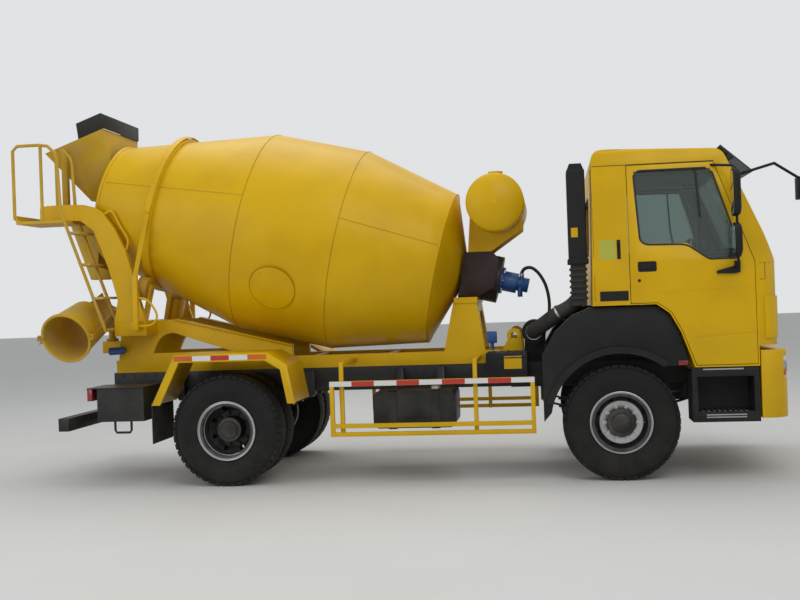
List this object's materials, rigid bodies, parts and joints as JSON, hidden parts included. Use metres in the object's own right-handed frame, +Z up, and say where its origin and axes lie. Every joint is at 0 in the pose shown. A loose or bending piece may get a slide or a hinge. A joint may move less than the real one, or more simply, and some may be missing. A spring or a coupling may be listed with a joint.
{
  "type": "concrete mixer truck",
  "caption": "Two-axle cab-over truck with a tilting cab, a tilted rotating mixing drum, a charging hopper with ladder and platform, and a swivelling discharge chute.",
  "frame": {"origin": "on the ground at the middle of the overall length and width", "axes": "+X forward, +Y to the truck's left, +Z up"},
  "size_m": [7.84, 2.996, 3.86],
  "materials": {
    "paint_yellow": "gloss",
    "paint_black": "satin",
    "plastic_black": "matte",
    "plastic_grey": "matte",
    "engine_iron": "matte",
    "rubber_black": "matte",
    "tyre_rubber": "matte",
    "lamp_red": "gloss",
    "lamp_clear": "gloss",
    "paint_maroon": "satin",
    "paint_blue": "satin",
    "paint_silver": "satin",
    "bare_steel": "satin",
    "window_glass": "clear",
    "acrylic_smoked": "smoked"
  },
  "bodies": {
    "chassis": {"chassis_frame": "paint_black", "front_axle": "paint_black", "rear_axle": "paint_black", "engine_block": "engine_iron", "fuel_tank": "paint_black", "battery_box": "plastic_black", "front_fenders": "plastic_black", "rear_fenders": "paint_yellow", "mudflaps": "rubber_black", "side_guards": "paint_yellow", "rear_bumper": "paint_black", "chassis_lamps": "lamp_red", "intake_stack": "plastic_black", "drum_frame": "paint_yellow", "drum_gearbox": "paint_maroon", "hydraulic_motor": "paint_blue", "hydraulic_hoses": "rubber_black", "water_tank": "paint_yellow", "hold_down_strap": "paint_yellow", "rear_platform": "paint_yellow", "charge_hopper": "paint_yellow", "hopper_lip": "rubber_black", "discharge_funnel": "paint_yellow"},
    "knuckle_left": {"knuckle_left": "paint_black"},
    "knuckle_right": {"knuckle_right": "paint_black"},
    "front_wheel_left": {"tyre_front_left": "tyre_rubber", "wheel_front_left": "paint_silver"},
    "front_wheel_right": {"tyre_front_right": "tyre_rubber", "wheel_front_right": "paint_silver"},
    "rear_wheels_left": {"tyres_rear_left": "tyre_rubber", "wheels_rear_left": "paint_silver"},
    "rear_wheels_right": {"tyres_rear_right": "tyre_rubber", "wheels_rear_right": "paint_silver"},
    "drum": {"drum_shell": "paint_yellow"},
    "roller_left": {"roller_left": "bare_steel"},
    "roller_right": {"roller_right": "bare_steel"},
    "chute_swivel": {"chute_swivel": "paint_yellow"},
    "chute": {"main_chute": "paint_yellow"},
    "chute_extension": {"chute_extension": "paint_yellow"},
    "cab": {"cab_shell": "paint_yellow", "cab_glass": "window_glass", "cab_interior": "plastic_grey", "cab_steps": "plastic_black", "front_bumper": "paint_yellow", "headlamps": "lamp_clear", "front_mirror": "plastic_black", "sun_visor": "acrylic_smoked"},
    "front_panel": {"front_panel": "paint_yellow"},
    "door_left": {"door_left": "paint_yellow", "door_glass_left": "window_glass", "mirrors_left": "plastic_black"},
    "door_right": {"door_right": "paint_yellow", "door_glass_right": "window_glass", "mirrors_right": "plastic_black"}
  },
  "joints": [
    {"name": "steer_left", "type": "hinge", "parent": "chassis", "child": "knuckle_left", "pos_m": [2.16, 0.86, 0.5425], "axis": [0, 0, 1], "range_deg": [-35, 35]},
    {"name": "front_spin_left", "type": "hinge", "parent": "knuckle_left", "child": "front_wheel_left", "pos_m": [2.16, 1.011, 0.5425], "axis": [0, 1, 0], "continuous": true},
    {"name": "rear_spin_left", "type": "hinge", "parent": "chassis", "child": "rear_wheels_left", "pos_m": [-1.64, 0.915, 0.5425], "axis": [0, 1, 0], "continuous": true},
    {"name": "steer_right", "type": "hinge", "parent": "chassis", "child": "knuckle_right", "pos_m": [2.16, -0.86, 0.5425], "axis": [0, 0, 1], "range_deg": [-35, 35]},
    {"name": "front_spin_right", "type": "hinge", "parent": "knuckle_right", "child": "front_wheel_right", "pos_m": [2.16, -1.011, 0.5425], "axis": [0, 1, 0], "continuous": true},
    {"name": "rear_spin_right", "type": "hinge", "parent": "chassis", "child": "rear_wheels_right", "pos_m": [-1.64, -0.915, 0.5425], "axis": [0, 1, 0], "continuous": true},
    {"name": "drum_spin", "type": "hinge", "parent": "chassis", "child": "drum", "pos_m": [0.64, 0, 2.027], "axis": [-0.9724, 0, 0.2334], "continuous": true},
    {"name": "roller_spin_left", "type": "hinge", "parent": "chassis", "child": "roller_left", "pos_m": [-2.68198, 0.53119, 1.98334], "axis": [-0.9724, 0, 0.2334], "continuous": true},
    {"name": "roller_spin_right", "type": "hinge", "parent": "chassis", "child": "roller_right", "pos_m": [-2.68198, -0.53119, 1.98334], "axis": [-0.9724, 0, 0.2334], "continuous": true},
    {"name": "chute_swing", "type": "hinge", "parent": "chassis", "child": "chute_swivel", "pos_m": [-3.29, 0, 1.355], "axis": [0, 0, -1], "range_deg": [0, 165]},
    {"name": "chute_tilt", "type": "hinge", "parent": "chute_swivel", "child": "chute", "pos_m": [-3.29, 0, 1.61], "axis": [0.9976, -0.0698, 0], "range_deg": [-4, 12]},
    {"name": "chute_fold", "type": "hinge", "parent": "chute", "child": "chute_extension", "pos_m": [-3.36063, -1.01008, 1.48672], "axis": [0.9976, -0.0698, 0], "range_deg": [0, 180]},
    {"name": "cab_tilt", "type": "hinge", "parent": "chassis", "child": "cab", "pos_m": [3.31, 0, 0.8], "axis": [0, 1, 0], "range_deg": [0, 45]},
    {"name": "front_panel_lift", "type": "hinge", "parent": "cab", "child": "front_panel", "pos_m": [3.602, 0, 1.903], "axis": [0, -1, 0], "range_deg": [0, 75]},
    {"name": "door_left_swing", "type": "hinge", "parent": "cab", "child": "door_left", "pos_m": [3.39, 1.248, 1.5], "axis": [0, 0, -1], "range_deg": [0, 70]},
    {"name": "door_right_swing", "type": "hinge", "parent": "cab", "child": "door_right", "pos_m": [3.39, -1.248, 1.5], "axis": [0, 0, 1], "range_deg": [0, 70]}
  ],
  "couplings": [
    {"joint": "steer_right", "follows": "steer_left", "ratio": 1},
    {"joint": "roller_spin_left", "follows": "drum_spin", "ratio": -6.8},
    {"joint": "roller_spin_right", "follows": "drum_spin", "ratio": -6.8}
  ]
}
